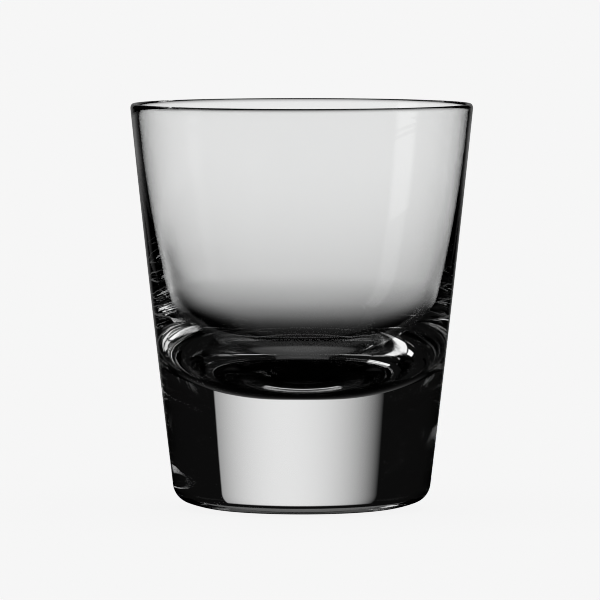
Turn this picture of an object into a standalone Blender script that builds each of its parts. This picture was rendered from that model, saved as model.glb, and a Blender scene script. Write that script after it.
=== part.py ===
"""Whiskey tumbler: one piece of clear glass with a thick base, a round bowl and a thin lip.

Metres, +Z up. The origin is on the table under the glass's upright axis, which is Z.
The glass is a body of revolution: one outline in the XZ plane, turned about Z.
"""

import math

import bpy

# Outside of the glass
HEIGHT = 0.102
MOUTH_RADIUS = 0.0432  # where the line of the flank meets the plane of the rim
FOOT_RADIUS = 0.0317  # where the same line meets the table
FLANK_BULGE = 0.00025  # how far the flank stands proud of that line, half way up

# Lip, wall and bowl
LIP_THICKNESS = 0.0014
SHOULDER_WALL = 0.0034  # glass beside the bowl, where its round bottom meets its wall
THINNING_HEIGHT = 0.0355  # how far above the shoulder the wall thins down to the lip's thickness
BASE_THICKNESS = 0.0295  # solid glass between the floor of the bowl and the table
BOWL_FLOOR_RADIUS = 0.004  # the small flat at the bottom of the bowl

# Foot
FOOT_CORNER_RADIUS = 0.0053
SOLE_RADIUS = 0.027  # the rounding between the foot's corner and the standing ring
SOLE_WIDTH = 0.0121  # from the foot radius in to the standing ring
STANDING_RING_WIDTH = 0.0025
PUNT_DEPTH = 0.0006  # hollow under the base, inside the standing ring

# Facets
TURN_STEPS = 72
FLANK_POINTS = 9
BOWL_POINTS = 13
WALL_POINTS = 10
LIP_POINTS = 4  # on each side of the crest
CORNER_POINTS = 6
SOLE_POINTS = 4
PUNT_POINTS = 4
MERGE_DISTANCE = 1e-6

COLLECTION_NAME = "whiskey_tumbler"
NODE_NAME = "tumbler_glass"


def clear_scene():
    """Remove every object that the scene holds."""
    for item in list(bpy.data.objects):
        bpy.data.objects.remove(item, do_unlink=True)


def arc(centre, radius, start, end, count):
    """Points along an arc of the outline, both ends included; angles from +X, in radians."""
    points = []
    for step in range(count):
        angle = start + (end - start) * step / (count - 1)
        points.append((centre[0] + radius * math.cos(angle), centre[1] + radius * math.sin(angle)))
    return points


def line_radius(height):
    """Outside radius, at a height above the table, of the straight line that the flank follows."""
    return FOOT_RADIUS + (MOUTH_RADIUS - FOOT_RADIUS) * height / HEIGHT


def flank_radius(height):
    """Outside radius of the flank at a height above the table: the line and its slight bulge."""
    share = height / HEIGHT
    return line_radius(height) + 4 * FLANK_BULGE * share * (1 - share)


def flank_slope(height):
    """Growth of the flank's radius for each metre of height."""
    share = height / HEIGHT
    return (MOUTH_RADIUS - FOOT_RADIUS + 4 * FLANK_BULGE * (1 - 2 * share)) / HEIGHT


def bowl_bottom():
    """The floor's flat and the round bottom of the bowl, from the axis out to the shoulder.

    The rounding is as large as leaves SHOULDER_WALL of glass where it ends, and it ends where
    it leans outwards as the wall does there.
    """
    taper = (MOUTH_RADIUS - FOOT_RADIUS) / HEIGHT
    lean = taper + 2 * (SHOULDER_WALL - LIP_THICKNESS) / THINNING_HEIGHT
    turn = math.pi / 2 - math.atan(lean)
    room = FOOT_RADIUS + taper * BASE_THICKNESS - SHOULDER_WALL - BOWL_FLOOR_RADIUS
    radius = room / (math.sin(turn) - taper * (1 - math.cos(turn)))
    centre = (BOWL_FLOOR_RADIUS, BASE_THICKNESS + radius)
    lowest = -math.pi / 2
    return [(0.0, BASE_THICKNESS)] + arc(centre, radius, lowest, lowest + turn, BOWL_POINTS)


def wall_thickness(rise):
    """Thickness of the wall at a height above the shoulder: it thins in a smooth curve to the lip."""
    left = max(0.0, 1 - rise / THINNING_HEIGHT)
    return LIP_THICKNESS + (SHOULDER_WALL - LIP_THICKNESS) * left**2


def wall_and_lip(shoulder_height):
    """The inside of the wall from the shoulder up, then over the rounded lip to the flank."""
    tilt = math.atan(flank_slope(HEIGHT))
    lip_radius = wall_thickness(HEIGHT - shoulder_height) * math.cos(tilt) / 2
    lip_height = HEIGHT - lip_radius
    centre = (line_radius(lip_height) - wall_thickness(lip_height - shoulder_height) / 2, lip_height)
    crest = math.pi / 2
    rising = arc(centre, lip_radius, math.pi - tilt, crest, LIP_POINTS)
    falling = arc(centre, lip_radius, crest, -tilt, LIP_POINTS)
    wall = []
    for step in range(1, WALL_POINTS):
        height = shoulder_height + (rising[0][1] - shoulder_height) * step / WALL_POINTS
        wall.append((line_radius(height) - wall_thickness(height - shoulder_height), height))
    return wall + rising + falling[1:]


def foot():
    """The foot's corner, the rounded sole, the flat standing ring and the punt, down to the axis."""
    slope = flank_slope(0)
    tilt = math.atan(slope)
    ring_outer = FOOT_RADIUS - SOLE_WIDTH
    ring_inner = ring_outer - STANDING_RING_WIDTH
    gap = SOLE_RADIUS - FOOT_CORNER_RADIUS
    reach = FOOT_RADIUS + slope * SOLE_RADIUS - ring_outer - FOOT_CORNER_RADIUS / math.cos(tilt)
    swing = math.asin(reach * math.cos(tilt) / gap) - tilt
    corner_centre = (ring_outer + gap * math.sin(swing), SOLE_RADIUS - gap * math.cos(swing))
    meeting = swing - math.pi / 2
    corner = arc(corner_centre, FOOT_CORNER_RADIUS, -tilt, meeting, CORNER_POINTS)
    sole = arc((ring_outer, SOLE_RADIUS), SOLE_RADIUS, meeting, -math.pi / 2, SOLE_POINTS)
    punt_radius = (ring_inner**2 + PUNT_DEPTH**2) / (2 * PUNT_DEPTH)
    punt_centre = (0.0, PUNT_DEPTH - punt_radius)
    edge = math.acos(ring_inner / punt_radius)
    punt = arc(punt_centre, punt_radius, edge, math.pi / 2, PUNT_POINTS)
    return corner + sole[1:] + punt[:-1] + [(0.0, PUNT_DEPTH)]


def flank(top, bottom):
    """Points down the flank between two heights, without its ends."""
    heights = [top + (bottom - top) * step / FLANK_POINTS for step in range(1, FLANK_POINTS)]
    return [(flank_radius(height), height) for height in heights]


def outline():
    """The whole outline: up the inside from the axis, over the lip, down the outside to the axis."""
    bowl = bowl_bottom()
    upper = wall_and_lip(bowl[-1][1])
    lower = foot()
    return bowl + upper + flank(upper[-1][1], lower[0][1]) + lower


def clear_glass():
    """Colourless glass, polished."""
    material = bpy.data.materials.new("clear_glass")
    material.use_nodes = True
    shader = material.node_tree.nodes["Principled BSDF"]
    shader.inputs["Base Color"].default_value = (0.97, 0.985, 0.98, 1.0)
    shader.inputs["Roughness"].default_value = 0.02
    shader.inputs["Metallic"].default_value = 0.0
    shader.inputs["IOR"].default_value = 1.5
    shader.inputs["Transmission Weight"].default_value = 1.0
    return material


def tumbler(collection):
    """The glass itself, turned from its outline by a Screw modifier."""
    points = outline()
    mesh = bpy.data.meshes.new(NODE_NAME)
    edges = [(index, index + 1) for index in range(len(points) - 1)]
    mesh.from_pydata([(radius, 0.0, height) for radius, height in points], edges, [])
    glass = bpy.data.objects.new(NODE_NAME, mesh)
    collection.objects.link(glass)
    mesh.materials.append(clear_glass())

    turn = glass.modifiers.new("turn", "SCREW")
    turn.axis = "Z"
    turn.angle = 2 * math.pi
    turn.steps = TURN_STEPS
    turn.render_steps = TURN_STEPS
    turn.use_merge_vertices = True
    turn.merge_threshold = MERGE_DISTANCE
    turn.use_smooth_shade = True
    return glass


def main():
    """Build the tumbler in a collection of its own."""
    clear_scene()
    collection = bpy.data.collections.new(COLLECTION_NAME)
    bpy.context.scene.collection.children.link(collection)
    tumbler(collection)


main()
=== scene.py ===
"""Whiskey tumbler in clear glass, on a pale floor in soft studio light.

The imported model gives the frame, and one finely turned glass stands for its only solid. The script builds
the glass, its finish, and a stage of floor, lights and camera. Lengths are in metres and +Z is up.
"""

import logging
import math
from dataclasses import dataclass, field
from enum import Enum
from typing import Any, Union

import bpy
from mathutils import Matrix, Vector


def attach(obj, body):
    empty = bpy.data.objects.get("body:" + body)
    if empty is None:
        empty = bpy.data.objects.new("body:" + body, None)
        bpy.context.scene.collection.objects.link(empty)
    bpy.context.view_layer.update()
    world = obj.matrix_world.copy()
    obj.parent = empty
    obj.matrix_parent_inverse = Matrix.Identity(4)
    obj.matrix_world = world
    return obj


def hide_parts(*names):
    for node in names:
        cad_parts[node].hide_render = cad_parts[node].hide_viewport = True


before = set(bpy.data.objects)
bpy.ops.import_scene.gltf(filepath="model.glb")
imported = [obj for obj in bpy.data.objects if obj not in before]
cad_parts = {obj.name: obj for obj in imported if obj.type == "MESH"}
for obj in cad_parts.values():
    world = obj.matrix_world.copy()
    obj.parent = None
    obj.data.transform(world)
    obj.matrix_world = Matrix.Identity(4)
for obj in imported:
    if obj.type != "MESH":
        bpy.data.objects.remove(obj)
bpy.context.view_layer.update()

GLASS_NODE = "tumbler_glass"
NO_LIMIT = 99
LOG = logging.getLogger("whiskey_tumbler")

Outline = list[tuple[float, float]]
SocketLike = Union["Socket", float, int]


class Socket:
    """An output socket that takes part in Python arithmetic; each operator adds a Math node."""

    def __init__(self, tree: "NodeTree", output: bpy.types.NodeSocket) -> None:
        """Wrap one output.

        Args:
            tree: the tree that the output belongs to.
            output: the output socket itself.
        """
        self.tree = tree
        self.output = output

    def maths(self, operation: str, *others: SocketLike) -> "Socket":
        """Add a Math node that works on this socket first.

        Args:
            operation: the Math node's operation.
            others: its further inputs, as sockets or numbers.

        Returns:
            The node's result.
        """
        return self.tree.maths(operation, self, *others)

    def __add__(self, other: SocketLike) -> "Socket":
        """This socket plus another value."""
        return self.maths("ADD", other)

    def __radd__(self, other: SocketLike) -> "Socket":
        """A value plus this socket."""
        return self.tree.maths("ADD", other, self)

    def __sub__(self, other: SocketLike) -> "Socket":
        """This socket less another value."""
        return self.maths("SUBTRACT", other)

    def __rsub__(self, other: SocketLike) -> "Socket":
        """A value less this socket."""
        return self.tree.maths("SUBTRACT", other, self)

    def __mul__(self, other: SocketLike) -> "Socket":
        """This socket times another value."""
        return self.maths("MULTIPLY", other)

    def __rmul__(self, other: SocketLike) -> "Socket":
        """A value times this socket."""
        return self.tree.maths("MULTIPLY", other, self)

    def __truediv__(self, other: SocketLike) -> "Socket":
        """This socket over another value."""
        return self.maths("DIVIDE", other)

    def __rtruediv__(self, other: SocketLike) -> "Socket":
        """A value over this socket."""
        return self.tree.maths("DIVIDE", other, self)

    def __lt__(self, other: SocketLike) -> "Socket":
        """1 where this socket is under another value, and 0 elsewhere."""
        return self.maths("LESS_THAN", other)

    def __gt__(self, other: SocketLike) -> "Socket":
        """1 where this socket is over another value, and 0 elsewhere."""
        return self.maths("GREATER_THAN", other)

    def __abs__(self) -> "Socket":
        """This socket without its sign."""
        return self.maths("ABSOLUTE")

    def smooth(self, start: float, end: float) -> "Socket":
        """A smooth step of this socket.

        Args:
            start: the value where the step is 0.
            end: the value where the step is 1.

        Returns:
            The step, from 0 to 1.
        """
        low, high = min(start, end), max(start, end)
        step = self.tree.node(
            "ShaderNodeMapRange",
            {"interpolation_type": "SMOOTHSTEP"},
            {"Value": self, "From Min": low, "From Max": high},
        )
        return step if start < end else 1 - step


class NodeTree:
    """A node tree under construction, of either kind."""

    def __init__(self, tree: bpy.types.NodeTree) -> None:
        """Wrap a tree.

        Args:
            tree: the tree that receives the nodes.
        """
        self.tree = tree

    def node(
        self,
        kind: str,
        settings: dict[str, Any] | None = None,
        inputs: dict[str | int, Any] | None = None,
        output: str | int = 0,
    ) -> Socket:
        """Add a node, set it up and feed it.

        Args:
            kind: the node's type.
            settings: its properties, set first.
            inputs: its inputs by name or number, as sockets, numbers, colours or data blocks.
            output: the output to return, by name or number.

        Returns:
            The wrapped output.
        """
        made = self.tree.nodes.new(kind)
        for name, value in (settings or {}).items():
            setattr(made, name, value)
        for name, value in (inputs or {}).items():
            self.feed(made.inputs[name], value)
        return Socket(self, made.outputs[output])

    def end(self, kind: str, name: str, value: Socket) -> None:
        """Add the tree's output node and feed it.

        Args:
            kind: the output node's type.
            name: the name of its input.
            value: the tree's result.
        """
        self.feed(self.tree.nodes.new(kind).inputs[name], value)

    def noise(self, place: Socket, scale: SocketLike, detail: float, roughness: float = 0.5) -> Socket:
        """Add a Noise Texture.

        Args:
            place: the coordinates that it is read at.
            scale: how many cells it has in a metre.
            detail: how many finer layers it has.
            roughness: how strong the finer layers are.

        Returns:
            The noise, about 0.5.
        """
        inputs = {"Vector": place, "Scale": scale, "Detail": detail, "Roughness": roughness}
        return self.node("ShaderNodeTexNoise", None, inputs)

    def feed(self, target: bpy.types.NodeSocket, value: Any) -> None:
        """Link a socket to an input, or set the input's own value.

        Args:
            target: the input.
            value: a socket, a number, a colour or a data block.
        """
        if isinstance(value, Socket):
            self.tree.links.new(value.output, target)
        else:
            target.default_value = value

    def maths(self, operation: str, *values: SocketLike) -> Socket:
        """Add a Math node.

        Args:
            operation: its operation.
            values: its inputs in order.

        Returns:
            Its result.
        """
        return self.node("ShaderNodeMath", {"operation": operation}, dict(enumerate(values)))

    def split(self, vector: Socket) -> tuple[Socket, Socket, Socket]:
        """The X, Y and Z of a vector, as three sockets."""
        apart = self.node("ShaderNodeSeparateXYZ", None, {0: vector}).output.node
        return Socket(self, apart.outputs[0]), Socket(self, apart.outputs[1]), Socket(self, apart.outputs[2])

    def vector(self, operation: str, *values: Any) -> Socket:
        """Add a Vector Math node.

        Args:
            operation: its operation.
            values: its inputs in order; SCALE takes its number under the name Scale.

        Returns:
            Its result.
        """
        inputs: dict[str | int, Any] = dict(enumerate(values))
        if operation == "SCALE":
            inputs = {0: values[0], "Scale": values[1]}
        return self.node("ShaderNodeVectorMath", {"operation": operation}, inputs)


@dataclass(frozen=True)
class GlassFinish:
    """Clear fire-polished glass, with faint handling marks and a worn standing ring."""

    name: str = "clear_glass"
    tint: tuple[float, float, float, float] = (0.995, 0.998, 0.997, 1.0)
    refraction: float = 1.5

    smudge_size: float = 0.018
    smudge_edges: tuple[float, float] = (0.52, 0.72)
    smudge_roughness: float = 0.004

    ring_height: float = 0.00035
    ring_roughness: float = 0.22
    scuffs_in_a_metre: float = 1400.0
    scuff_edges: tuple[float, float] = (0.35, 0.65)
    unscuffed_share: float = 0.4

    waviness_size: float = 0.011
    waviness_height: float = 0.00002

    def material(self) -> bpy.types.Material:
        """Build the material.

        Returns:
            A Principled glass whose roughness and relief follow the piece's own place.
        """
        made = bpy.data.materials.new(self.name)
        made.use_nodes = True
        made.node_tree.nodes.clear()
        tree = NodeTree(made.node_tree)
        place = tree.node("ShaderNodeTexCoord", output="Object")
        _, _, height = tree.split(place)

        smudges = tree.noise(place, 1 / self.smudge_size, 4.0, 0.6).smooth(*self.smudge_edges)
        scuffs = tree.noise(place, self.scuffs_in_a_metre, 2.0).smooth(*self.scuff_edges)
        worn = self.unscuffed_share + (1 - self.unscuffed_share) * scuffs
        ring = height.smooth(self.ring_height, 0.0)
        roughness = smudges * self.smudge_roughness + ring * worn * self.ring_roughness

        waves = tree.noise(place, 1 / self.waviness_size, 1.0, 0.4)
        bump = {"Height": waves, "Distance": self.waviness_height, "Strength": 1.0}
        relief = tree.node("ShaderNodeBump", None, bump)
        shader = tree.node(
            "ShaderNodeBsdfPrincipled",
            None,
            {
                "Base Color": self.tint,
                "Roughness": roughness,
                "Metallic": 0.0,
                "IOR": self.refraction,
                "Transmission Weight": 1.0,
                "Normal": relief,
            },
        )
        tree.end("ShaderNodeOutputMaterial", "Surface", shader)
        return made


@dataclass
class TurnedGlass:
    """The tumbler: one outline turned about its upright axis, with faint ripples where the glass is thick."""

    height: float = 0.102
    mouth_radius: float = 0.0432
    foot_radius: float = 0.0317
    flank_bulge: float = 0.00025
    lip_thickness: float = 0.0014
    lip_stretch: float = 1.6
    shoulder_wall: float = 0.0034
    thinning_height: float = 0.0355
    base_thickness: float = 0.0295
    bowl_floor_radius: float = 0.004
    foot_corner_radius: float = 0.0053
    sole_radius: float = 0.027
    sole_width: float = 0.0121
    standing_ring_width: float = 0.0025
    punt_depth: float = 0.0006

    turn_steps: int = 384
    bowl_floor_points: int = 4
    bowl_points: int = 46
    wall_points: int = 34
    lip_points: int = 8
    flank_points: int = 44
    corner_points: int = 16
    sole_points: int = 12
    ring_points: int = 3
    punt_points: int = 10
    merge_distance: float = 1e-6

    cavity_offset: float = 0.0003
    ripple_height: float = 0.0002
    ripple_size: float = 0.0045
    ripple_stretch: float = 3.0
    ripple_side_start: float = -0.018
    ripple_side_full: float = -0.029
    ripple_seed: float = 3.0
    ripple_level: float = 0.0545
    ripple_reach: float = 0.014
    ripple_quiet_side: float = 0.12
    finish: GlassFinish = field(default_factory=GlassFinish)

    @staticmethod
    def arc(
        centre: tuple[float, float], radius: float, start: float, end: float, count: int, stretch: float = 1.0
    ) -> Outline:
        """Points along an arc of the outline.

        Args:
            centre: the arc's centre, as distance from the axis and height.
            radius: its radius.
            start: the angle of its first point, from outwards, in radians.
            end: the angle of its last point.
            count: how many points it has, both ends included.
            stretch: how many times taller than wide it is.

        Returns:
            The points in order.
        """
        turns = [start + (end - start) * step / (count - 1) for step in range(count)]
        tall = radius * stretch
        return [(centre[0] + radius * math.cos(a), centre[1] + tall * math.sin(a)) for a in turns]

    def line_radius(self, height: float) -> float:
        """Outside radius, at a height, of the straight line that the flank follows."""
        return self.foot_radius + (self.mouth_radius - self.foot_radius) * height / self.height

    def flank_radius(self, height: float) -> float:
        """Outside radius of the flank at a height: the line and its slight bulge."""
        share = height / self.height
        return self.line_radius(height) + 4 * self.flank_bulge * share * (1 - share)

    def flank_slope(self, height: float) -> float:
        """Growth of the flank's radius for each metre of height.

        Args:
            height: the height where it is taken.

        Returns:
            The slope, as metres for a metre.
        """
        share = height / self.height
        growth = self.mouth_radius - self.foot_radius + 4 * self.flank_bulge * (1 - 2 * share)
        return growth / self.height

    def bowl_bottom(self) -> Outline:
        """The floor of the bowl and its round bottom, from the axis out to the shoulder.

        Returns:
            The points in order.
        """
        taper = (self.mouth_radius - self.foot_radius) / self.height
        lean = taper + 2 * (self.shoulder_wall - self.lip_thickness) / self.thinning_height
        turn = math.pi / 2 - math.atan(lean)
        room = self.foot_radius + taper * self.base_thickness - self.shoulder_wall
        radius = (room - self.bowl_floor_radius) / (math.sin(turn) - taper * (1 - math.cos(turn)))
        centre = (self.bowl_floor_radius, self.base_thickness + radius)
        lowest = -math.pi / 2
        spacing = self.bowl_floor_radius / self.bowl_floor_points
        floor = [(spacing * step, self.base_thickness) for step in range(self.bowl_floor_points)]
        return floor + self.arc(centre, radius, lowest, lowest + turn, self.bowl_points)

    def wall_thickness(self, rise: float) -> float:
        """Thickness of the wall at a height above the shoulder."""
        left = max(0.0, 1 - rise / self.thinning_height)
        return self.lip_thickness + (self.shoulder_wall - self.lip_thickness) * left**2

    def wall_and_lip(self, shoulder: float) -> Outline:
        """The inside of the wall from the shoulder up, then over the rounded lip.

        Args:
            shoulder: the height of the shoulder.

        Returns:
            The points in order, ending on the flank.
        """
        tilt = math.atan(self.flank_slope(self.height))
        radius = self.wall_thickness(self.height - shoulder) * math.cos(tilt) / 2
        level = self.height - radius * self.lip_stretch
        centre = (self.line_radius(level) - self.wall_thickness(level - shoulder) / 2, level)
        crest = math.pi / 2
        rising = self.arc(centre, radius, math.pi - tilt, crest, self.lip_points, self.lip_stretch)
        falling = self.arc(centre, radius, crest, -tilt, self.lip_points, self.lip_stretch)
        wall = []
        for step in range(1, self.wall_points):
            height = shoulder + (rising[0][1] - shoulder) * step / self.wall_points
            wall.append((self.line_radius(height) - self.wall_thickness(height - shoulder), height))
        return wall + rising + falling[1:]

    def foot(self) -> Outline:
        """The foot's corner, the rounded sole, the standing ring and the punt, down to the axis.

        Returns:
            The points in order.
        """
        slope = self.flank_slope(0)
        tilt = math.atan(slope)
        ring_outer = self.foot_radius - self.sole_width
        ring_inner = ring_outer - self.standing_ring_width
        gap = self.sole_radius - self.foot_corner_radius
        reach = self.foot_radius + slope * self.sole_radius - ring_outer
        reach -= self.foot_corner_radius / math.cos(tilt)
        swing = math.asin(reach * math.cos(tilt) / gap) - tilt
        corner_centre = (ring_outer + gap * math.sin(swing), self.sole_radius - gap * math.cos(swing))
        meeting = swing - math.pi / 2
        corner = self.arc(corner_centre, self.foot_corner_radius, -tilt, meeting, self.corner_points)
        sole_centre = (ring_outer, self.sole_radius)
        sole = self.arc(sole_centre, self.sole_radius, meeting, -math.pi / 2, self.sole_points)
        steps = range(1, self.ring_points)
        ring = [(ring_outer - self.standing_ring_width * step / self.ring_points, 0.0) for step in steps]
        punt_radius = (ring_inner**2 + self.punt_depth**2) / (2 * self.punt_depth)
        punt_centre = (0.0, self.punt_depth - punt_radius)
        edge = math.acos(ring_inner / punt_radius)
        punt = self.arc(punt_centre, punt_radius, edge, math.pi / 2, self.punt_points)
        return corner + sole[1:] + ring + punt[:-1] + [(0.0, self.punt_depth)]

    def outline(self) -> Outline:
        """The whole outline, from the axis up the inside, over the lip and down the outside.

        Returns:
            The points in order, ending on the axis under the base.
        """
        bowl = self.bowl_bottom()
        upper = self.wall_and_lip(bowl[-1][1])
        lower = self.foot()
        top, bottom = upper[-1][1], lower[0][1]
        levels = [top + (bottom - top) * step / self.flank_points for step in range(1, self.flank_points)]
        return bowl + upper + [(self.flank_radius(level), level) for level in levels] + lower

    def inner_points(self) -> int:
        """How many of the outline's points lie on the inside, up to the crest of the lip."""
        return len(self.bowl_bottom()) + self.wall_points - 1 + self.lip_points

    def sizes(self) -> dict[str, int | float]:
        """The sizes that the node tree takes.

        Returns:
            Each input's value by its name.
        """
        return {
            "Turn Steps": self.turn_steps,
            "Outline Points": len(self.outline()),
            "Inner Points": self.inner_points(),
            "Lip Points": self.lip_points,
            "Merge Distance": self.merge_distance,
            "Cavity Offset": self.cavity_offset,
            "Ripple Height": self.ripple_height,
            "Ripple Size": self.ripple_size,
            "Ripple Seed": self.ripple_seed,
            "Ripple Level": self.ripple_level,
            "Ripple Reach": self.ripple_reach,
            "Quiet Side": self.ripple_quiet_side,
        }

    def ripples(self, tree: NodeTree, given: dict[str, Socket], turned: Socket) -> Socket:
        """How far the ripples push the surface outwards.

        Args:
            tree: the tree that receives the nodes.
            given: the tree's inputs by name.
            turned: the turned place of each point.

        Returns:
            The push, strongest on the -X side near the ripples' level.
        """
        across, _, level = tree.split(turned)
        span = ((level - given["Ripple Level"]) / given["Ripple Reach"]).maths("ABSOLUTE")
        nearness = 1 - span.maths("MINIMUM", 1.0)
        loud_side = across.smooth(self.ripple_side_start, self.ripple_side_full)
        loudness = given["Quiet Side"] + (1 - given["Quiet Side"]) * loud_side
        squeeze = 1 / self.ripple_stretch
        noise = tree.node(
            "ShaderNodeTexNoise",
            {"noise_dimensions": "4D"},
            {
                "Vector": tree.vector("MULTIPLY", turned, (squeeze, squeeze, 1.0)),
                "W": given["Ripple Seed"],
                "Scale": 1 / given["Ripple Size"],
                "Detail": 1.0,
                "Roughness": 0.4,
            },
        )
        return (noise - 0.5) * nearness * loudness * given["Ripple Height"]

    def turning_tree(self, material: bpy.types.Material) -> bpy.types.NodeTree:
        """The Geometry Nodes that turn an outline into the glass and put the ripples in it.

        Args:
            material: the finish that the result carries.

        Returns:
            The node tree, with its sizes as named inputs.
        """
        group = bpy.data.node_groups.new("turned_glass", "GeometryNodeTree")
        kinds = {"Outline": "NodeSocketGeometry"}
        for name, value in self.sizes().items():
            kinds[name] = "NodeSocketInt" if isinstance(value, int) else "NodeSocketFloat"
        for name, kind in kinds.items():
            group.interface.new_socket(name=name, in_out="INPUT", socket_type=kind)
        group.interface.new_socket(name="Glass", in_out="OUTPUT", socket_type="NodeSocketGeometry")
        tree = NodeTree(group)
        entry = group.nodes.new("NodeGroupInput")
        given = {name: Socket(tree, entry.outputs[name]) for name in kinds}

        grid = tree.node(
            "GeometryNodeMeshGrid",
            None,
            {"Vertices X": given["Turn Steps"] + 1, "Vertices Y": given["Outline Points"]},
        )
        index = tree.node("GeometryNodeInputIndex")
        column = tree.node(
            "FunctionNodeIntegerMath", {"operation": "DIVIDE_FLOOR"}, {0: index, 1: given["Outline Points"]}
        )
        row = tree.node(
            "FunctionNodeIntegerMath", {"operation": "MODULO"}, {0: index, 1: given["Outline Points"]}
        )
        place = tree.node("GeometryNodeInputPosition")
        sampled = tree.node(
            "GeometryNodeSampleIndex",
            {"data_type": "FLOAT_VECTOR"},
            {"Geometry": given["Outline"], "Value": place, "Index": row},
        )
        turned = tree.node(
            "ShaderNodeVectorRotate",
            {"rotation_type": "Z_AXIS"},
            {"Vector": sampled, "Angle": column / given["Turn Steps"] * math.tau},
        )
        inside = row < given["Inner Points"]
        lip_share = (given["Inner Points"] - row) / given["Lip Points"]
        lip_share = lip_share.maths("MAXIMUM", 0.0).maths("MINIMUM", 1.0)
        aside = tree.node("ShaderNodeCombineXYZ", None, {0: lip_share * given["Cavity Offset"]})

        push = self.ripples(tree, given, turned) * inside
        outward = tree.vector("NORMALIZE", tree.vector("MULTIPLY", turned, (1.0, 1.0, 0.0)))
        moved = tree.vector("ADD", tree.vector("ADD", turned, aside), tree.vector("SCALE", outward, push))
        surface = tree.node("GeometryNodeSetPosition", None, {"Geometry": grid, "Position": moved})
        surface = tree.node(
            "GeometryNodeMergeByDistance", None, {"Geometry": surface, "Distance": given["Merge Distance"]}
        )
        surface = tree.node("GeometryNodeFlipFaces", None, {"Mesh": surface})
        surface = tree.node("GeometryNodeSetShadeSmooth", None, {"Geometry": surface, "Shade Smooth": True})
        surface = tree.node("GeometryNodeRealizeInstances", None, {"Geometry": surface})
        surface = tree.node("GeometryNodeSetMaterial", None, {"Geometry": surface, "Material": material})
        tree.end("NodeGroupOutput", "Glass", surface)
        return group

    def build(self) -> bpy.types.Object:
        """Turn the outline and make the result a plain mesh.

        Returns:
            The glass, which rides on the root body and stands for the CAD solid.
        """
        points = self.outline()
        line = bpy.data.meshes.new("outline")
        edges = [(index, index + 1) for index in range(len(points) - 1)]
        line.from_pydata([(radius, 0.0, height) for radius, height in points], edges, [])
        source = bpy.data.objects.new("outline", line)
        bpy.context.scene.collection.objects.link(source)

        material = self.finish.material()
        turning = source.modifiers.new("turning", "NODES")
        turning.node_group = self.turning_tree(material)
        values = self.sizes()
        for item in turning.node_group.interface.items_tree:
            if item.in_out == "INPUT" and item.name in values:
                turning[item.identifier] = values[item.name]

        bpy.context.view_layer.update()
        graph = bpy.context.evaluated_depsgraph_get()
        mesh = bpy.data.meshes.new_from_object(source.evaluated_get(graph))
        mesh.name = "turned_tumbler"
        bpy.data.objects.remove(source)
        glass = bpy.data.objects.new("turned_tumbler", mesh)
        bpy.context.scene.collection.objects.link(glass)
        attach(glass, "root")
        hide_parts(GLASS_NODE)
        return glass


class Seen(Enum):
    """After how few and how many reflections a light shows in the glass."""

    ALWAYS = (0, NO_LIMIT)
    STRAIGHT = (0, 0)
    ONCE = (1, 1)
    OFTEN = (2, NO_LIMIT)

    def gate(self, bounces: Socket) -> Socket:
        """1 where the number of reflections fits, and 0 elsewhere."""
        fewest, most = self.value
        return (bounces > fewest - 0.5) * (bounces < most + 0.5)


@dataclass(frozen=True)
class Panel:
    """A bright panel round the glass, whose light fades from its middle. Angles are in degrees.

    middle is an azimuth: 0 is straight behind the glass, +90 is to the right and -90 to the left. left and
    right are measured from the middle. edge is half the width of the soft edges at the sides, and top_edge
    half the width of those at the top and the bottom.
    """

    name: str
    middle: float
    left: float
    right: float
    bottom: float
    top: float
    level: float
    fade: float = 1000.0
    edge: float = 0.4
    top_edge: float = 2.0
    seen: Seen = Seen.ALWAYS

    def light(self, turn: Socket, rise: Socket, bounces: Socket) -> Socket:
        """The panel's light in a direction.

        Args:
            turn: the direction's azimuth.
            rise: its elevation.
            bounces: how many surfaces have mirrored the light.

        Returns:
            The light, which is 0 outside the panel.
        """
        off = (turn - self.middle + 180).maths("FLOORED_MODULO", 360.0) - 180
        light = self.level * (1 - off * off / self.fade**2).maths("MAXIMUM", 0.0)
        light = light * off.smooth(self.left - self.edge, self.left + self.edge)
        light = light * off.smooth(self.right + self.edge, self.right - self.edge)
        light = light * rise.smooth(self.top + self.top_edge, self.top - self.top_edge)
        light = light * rise.smooth(self.bottom - self.top_edge, self.bottom + self.top_edge)
        return light if self.seen is Seen.ALWAYS else light * self.seen.gate(bounces)


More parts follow.
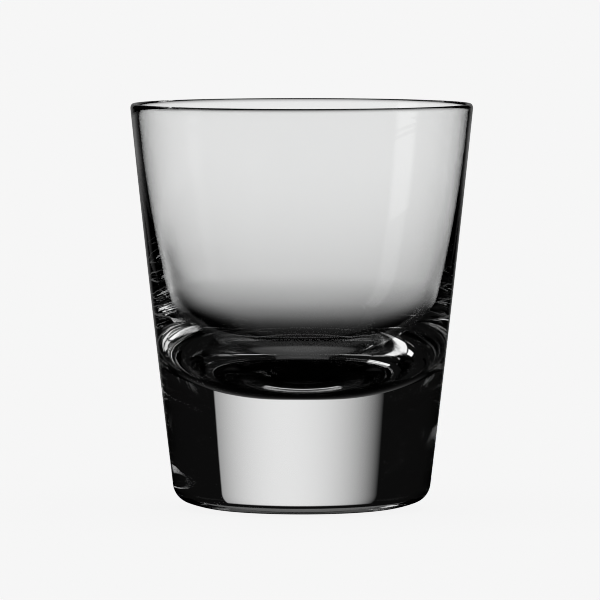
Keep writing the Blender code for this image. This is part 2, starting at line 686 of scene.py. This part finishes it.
@dataclass(frozen=True)
class TableLight:
    """Light from the table top that shows in the glass: dark near the glass behind it, and paler elsewhere.

    Distances are in metres from the glass's axis. Sectors are in degrees from straight behind the glass.
    """

    level: float = 0.9
    dark_radius: float = 0.215
    dark_edges: tuple[float, float] = (0.03, 0.11)
    sector_middle: float = 2.0
    sector_edges: tuple[float, float] = (30.0, 12.0)

    open_radius: float = 0.04
    open_edges: tuple[float, float] = (0.036, 0.06)
    front_edges: tuple[float, float] = (0.02, -0.02)
    lane: float = 0.085
    lane_start: float = 0.022
    lane_growth: float = 0.22
    lane_edge: float = 0.045

    under_level: float = 0.07
    under_edges: tuple[float, float] = (0.028, 0.0224)

    mirrored_middle: float = -2.0
    mirrored_edges: tuple[float, float] = (28.0, 10.0)
    once: float = 0.2
    often: float = 0.2

    def light(self, tree: NodeTree, place: Socket, bounces: Socket) -> Socket:
        """The table's light at a place.

        Args:
            tree: the tree that receives the nodes.
            place: the place on the table.
            bounces: how many surfaces have mirrored the light.

        Returns:
            The strength of its light.
        """
        across, along, _ = tree.split(place)
        distance = (across * across + along * along).maths("SQRT")
        turn = across.maths("ARCTAN2", along) * math.degrees(1)
        spread = distance * distance
        shade = self.level * spread / (spread + self.dark_radius**2) * distance.smooth(*self.dark_edges)
        behind = shade * abs(turn - self.sector_middle).smooth(*self.sector_edges)
        mirrored = shade * abs(turn - self.mirrored_middle).smooth(*self.mirrored_edges)
        open_side = self.level * spread / (spread + self.open_radius**2) * distance.smooth(*self.open_edges)
        lane = (along * self.lane_growth + self.lane_start).maths("MINIMUM", self.lane)
        beside = (abs(across) - lane).smooth(0.0, self.lane_edge)
        beside = beside.maths("MAXIMUM", along.smooth(*self.front_edges))
        under = self.under_level * distance.smooth(*self.under_edges)
        straight, once, often = (seen.gate(bounces) for seen in (Seen.STRAIGHT, Seen.ONCE, Seen.OFTEN))
        level = once * self.once + often * self.often
        return (behind + (open_side - behind) * beside + under) * straight + mirrored * level


@dataclass
class Studio:
    """The stage: a pale floor, a soft top light, and bright panels with dark gaps for the glass to show."""

    floor_size: float = 60.0
    table_size: float = 12.0
    table_drop: float = 0.0006
    backdrop: float = 0.922
    floor_albedo: float = 0.75
    shadow_share: float = 0.035
    sun_softness: float = math.radians(70)

    panels: tuple[Panel, ...] = (
        Panel(
            "rear", level=0.82, fade=30.0, seen=Seen.STRAIGHT,
            middle=4.5, left=-31.0, right=23.0, bottom=-60.0, top=26.0,
        ),
        Panel(
            "rear_once", level=0.2, fade=30.0, seen=Seen.ONCE,
            middle=0.0, left=-20.0, right=20.0, bottom=-60.0, top=22.0,
        ),
        Panel(
            "rear_often", level=0.1, fade=30.0, seen=Seen.OFTEN,
            middle=0.0, left=-20.0, right=20.0, bottom=-60.0, top=22.0,
        ),
        Panel(
            "left_side", level=0.75, fade=40.0, edge=2.0, top_edge=1.2, seen=Seen.STRAIGHT,
            middle=-90.0, left=-22.0, right=22.0, bottom=-60.0, top=5.5,
        ),
        Panel(
            "right_side", level=0.75, fade=40.0, edge=2.0, top_edge=1.2, seen=Seen.STRAIGHT,
            middle=90.0, left=-22.0, right=22.0, bottom=-60.0, top=5.5,
        ),
        Panel(
            "front", level=0.8, fade=40.0, edge=2.0, seen=Seen.STRAIGHT,
            middle=180.0, left=-27.0, right=27.0, bottom=-60.0, top=30.0,
        ),
        Panel(
            "overhead", level=0.15, seen=Seen.STRAIGHT,
            middle=0.0, left=-180.0, right=180.0, bottom=40.0, top=65.0,
        ),
        Panel(
            "overhead_once", level=0.1, seen=Seen.ONCE,
            middle=0.0, left=-180.0, right=180.0, bottom=40.0, top=65.0,
        ),
        Panel(
            "overhead_often", level=0.6, top_edge=1.0, seen=Seen.OFTEN,
            middle=180.0, left=-65.0, right=65.0, bottom=55.0, top=61.0,
        ),
        Panel(
            "left_strip", level=1.1, fade=40.0, edge=3.0, seen=Seen.ONCE,
            middle=-100.0, left=-9.0, right=9.0, bottom=-5.0, top=40.0,
        ),
        Panel(
            "left_box", level=1.2, fade=60.0, edge=1.0, top_edge=1.5, seen=Seen.OFTEN,
            middle=-98.0, left=-9.0, right=9.0, bottom=0.0, top=14.0,
        ),
        Panel(
            "left_glint", level=1.0, fade=60.0, edge=1.0, top_edge=1.5, seen=Seen.OFTEN,
            middle=-70.0, left=-15.0, right=15.0, bottom=2.0, top=26.0,
        ),
        Panel(
            "right_strip", level=0.35, fade=40.0, edge=3.0, seen=Seen.ONCE,
            middle=92.0, left=-6.0, right=6.0, bottom=2.0, top=12.0,
        ),
        Panel("room", level=0.004, middle=0.0, left=-200.0, right=200.0, bottom=-100.0, top=100.0),
    )

    table_light: TableLight = field(default_factory=TableLight)

    lens: float = 514.6
    sensor: float = 36.0
    eye: tuple[float, float, float] = (0.0, -2.1554, 0.1717)
    aim: tuple[float, float, float] = (-0.00043, 0.0, 0.0525)
    clip_end: float = 200.0
    filter_width: float = 1.0
    light_bounces: int = 24

    @staticmethod
    def bounces(tree: NodeTree) -> Socket:
        """How many surfaces have mirrored the light."""
        return tree.node("ShaderNodeLightPath", output="Glossy Depth")

    def floor_material(self) -> bpy.types.Material:
        """Pale matt floor, mostly of its own even brightness, so that the shadow on it stays faint.

        Returns:
            The material.
        """
        made = bpy.data.materials.new("pale_floor")
        made.use_nodes = True
        made.node_tree.nodes.clear()
        tree = NodeTree(made.node_tree)
        glow = self.backdrop * (1 - self.shadow_share)
        matt = tree.node("ShaderNodeBsdfDiffuse", None, {"Color": (self.floor_albedo,) * 3 + (1.0,)})
        even = tree.node("ShaderNodeEmission", None, {"Color": (glow,) * 3 + (1.0,), "Strength": 1.0})
        both = tree.node("ShaderNodeAddShader", None, {0: matt, 1: even})
        tree.end("ShaderNodeOutputMaterial", "Surface", both)
        return made

    def plate(self, name: str, half: float, height: float) -> bpy.types.Object:
        """A square plate of the stage.

        Args:
            name: its name.
            half: half of its side.
            height: its height.

        Returns:
            The plate.
        """
        mesh = bpy.data.meshes.new(name)
        corners = [(-half, -half, height), (half, -half, height), (half, half, height), (-half, half, height)]
        mesh.from_pydata(corners, [], [(0, 1, 2, 3)])
        made = bpy.data.objects.new(name, mesh)
        bpy.context.scene.collection.objects.link(made)
        return made

    def floor(self) -> bpy.types.Object:
        """The floor that is seen directly; the glass shows the table instead.

        Returns:
            The floor.
        """
        made = self.plate("floor", self.floor_size / 2, 0.0)
        made.data.materials.append(self.floor_material())
        made.visible_glossy = False
        made.visible_transmission = False
        made.visible_diffuse = False
        made.visible_shadow = False
        return made

    def table_material(self) -> bpy.types.Material:
        """The table top's own light, which varies from place to place.

        Returns:
            The material.
        """
        made = bpy.data.materials.new("table_light")
        made.use_nodes = True
        made.node_tree.nodes.clear()
        tree = NodeTree(made.node_tree)
        place = tree.node("ShaderNodeTexCoord", output="Object")
        light = self.table_light.light(tree, place, self.bounces(tree))
        glow = tree.node("ShaderNodeEmission", None, {"Strength": light})
        tree.end("ShaderNodeOutputMaterial", "Surface", glow)
        return made

    def table(self) -> bpy.types.Object:
        """The table top that only shows in the glass.

        Returns:
            The table.
        """
        made = self.plate("table", self.table_size / 2, -self.table_drop)
        made.data.materials.append(self.table_material())
        made.visible_camera = False
        made.visible_diffuse = False
        made.visible_shadow = False
        return made

    def world(self) -> None:
        """Pale backdrop for the eye, and panels with dark gaps between them for the glass."""
        made = bpy.data.worlds.new("studio")
        made.use_nodes = True
        made.node_tree.nodes.clear()
        tree = NodeTree(made.node_tree)
        direction = tree.node("ShaderNodeTexCoord", output="Generated")
        across, along, up = tree.split(direction)
        turn = across.maths("ARCTAN2", along) * math.degrees(1)
        rise = up.maths("ARCSINE") * math.degrees(1)
        bounces = self.bounces(tree)
        light = self.panels[0].light(turn, rise, bounces)
        for panel in self.panels[1:]:
            light = light + panel.light(turn, rise, bounces)
        direct = tree.node("ShaderNodeLightPath", output="Is Camera Ray")
        level = direct * self.backdrop + (1 - direct) * light
        glow = tree.node("ShaderNodeBackground", None, {"Strength": level, "Color": (1.0, 1.0, 1.0, 1.0)})
        tree.end("ShaderNodeOutputWorld", "Surface", glow)
        bpy.context.scene.world = made
        made.cycles_visibility.diffuse = False

    def sun(self) -> bpy.types.Object:
        """A broad, even top light, which gives the floor its faint soft shadow.

        Returns:
            The light.
        """
        lamp = bpy.data.lights.new("top_light", "SUN")
        lamp.angle = self.sun_softness
        lamp.energy = self.backdrop * self.shadow_share * math.pi / self.floor_albedo
        made = bpy.data.objects.new("top_light", lamp)
        made.visible_glossy = False
        made.visible_transmission = False
        bpy.context.scene.collection.objects.link(made)
        return made

    def camera(self) -> bpy.types.Object:
        """The camera, a long way off with a long lens, a little above the rim.

        Returns:
            The camera, which is the scene's own.
        """
        made = bpy.data.objects.new("camera", bpy.data.cameras.new("camera"))
        made.data.lens = self.lens
        made.data.sensor_width = self.sensor
        made.data.clip_end = self.clip_end
        made.location = self.eye
        made.rotation_euler = (Vector(self.aim) - Vector(self.eye)).to_track_quat("-Z", "Y").to_euler()
        bpy.context.scene.collection.objects.link(made)
        bpy.context.scene.camera = made
        return made

    def build(self) -> None:
        """Set the whole stage."""
        self.floor()
        self.table()
        self.world()
        self.sun()
        self.camera()
        scene = bpy.context.scene
        scene.view_settings.view_transform = "Standard"
        scene.cycles.filter_width = self.filter_width
        scene.cycles.max_bounces = self.light_bounces
        scene.cycles.transmission_bounces = self.light_bounces
        scene.cycles.glossy_bounces = self.light_bounces
        scene.cycles.caustics_reflective = False
        scene.cycles.caustics_refractive = False


def main() -> None:
    """Build the glass and the stage."""
    logging.basicConfig(level=logging.INFO)
    glass = TurnedGlass().build()
    LOG.info("%s has %d faces", glass.name, len(glass.data.polygons))
    Studio().build()


if __name__ == "__main__":
    main()
